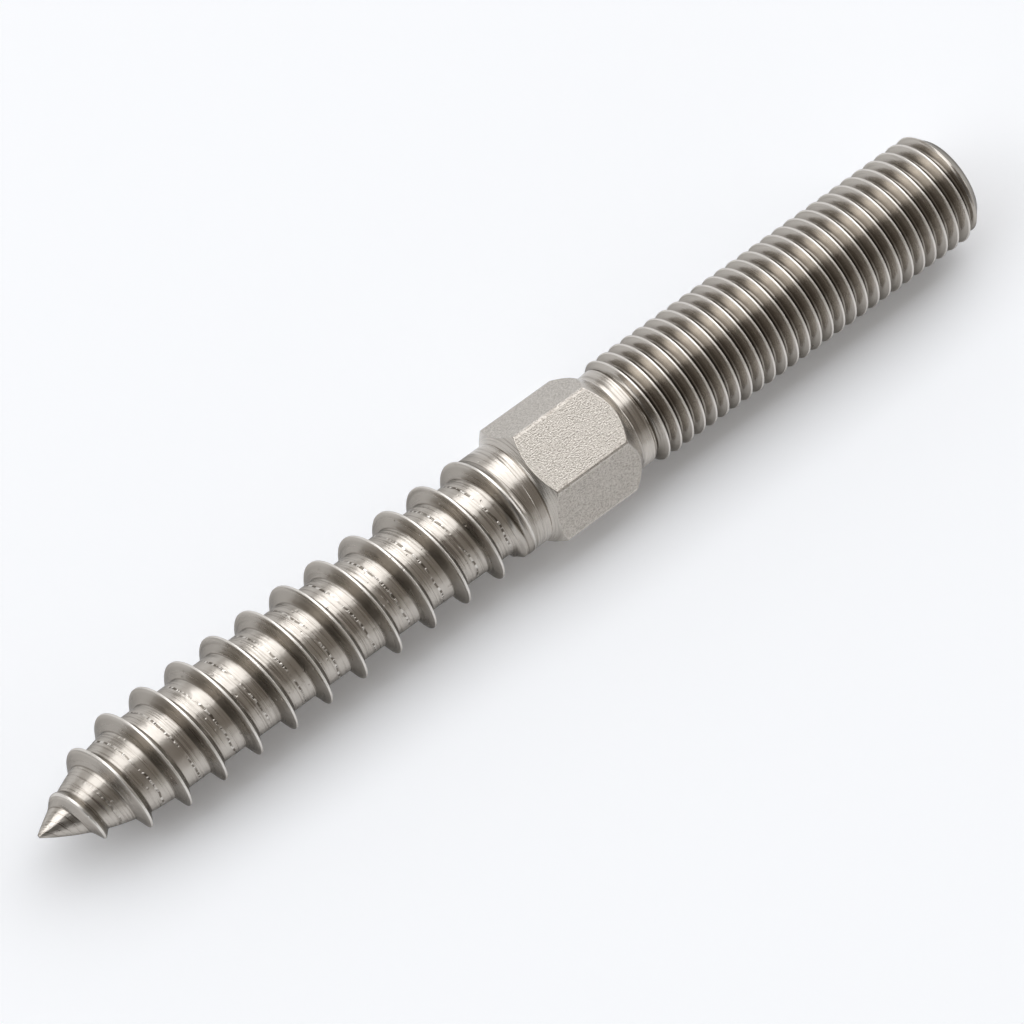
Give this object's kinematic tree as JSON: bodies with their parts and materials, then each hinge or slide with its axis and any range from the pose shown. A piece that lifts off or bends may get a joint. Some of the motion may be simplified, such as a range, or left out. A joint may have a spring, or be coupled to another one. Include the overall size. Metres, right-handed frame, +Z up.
{
  "type": "hanger bolt",
  "caption": "Double-ended steel fixing with a pointed wood thread, a hexagon collar for a spanner and a machine-threaded stud; screws into timber and takes a nut or clamp.",
  "frame": {"origin": "on the surface it lies on, under the middle of its box", "axes": "+X along the bolt from the wood point to the machine stud, +Z up from the flat it rests on"},
  "size_m": [0.094, 0.0114, 0.0099],
  "materials": {
    "stainless_steel": "bare stainless steel, bright and smooth on the threads, matte and fine-grained on the hexagon"
  },
  "bodies": {
    "root": {"hanger_bolt": "stainless_steel"}
  },
  "joints": []
}
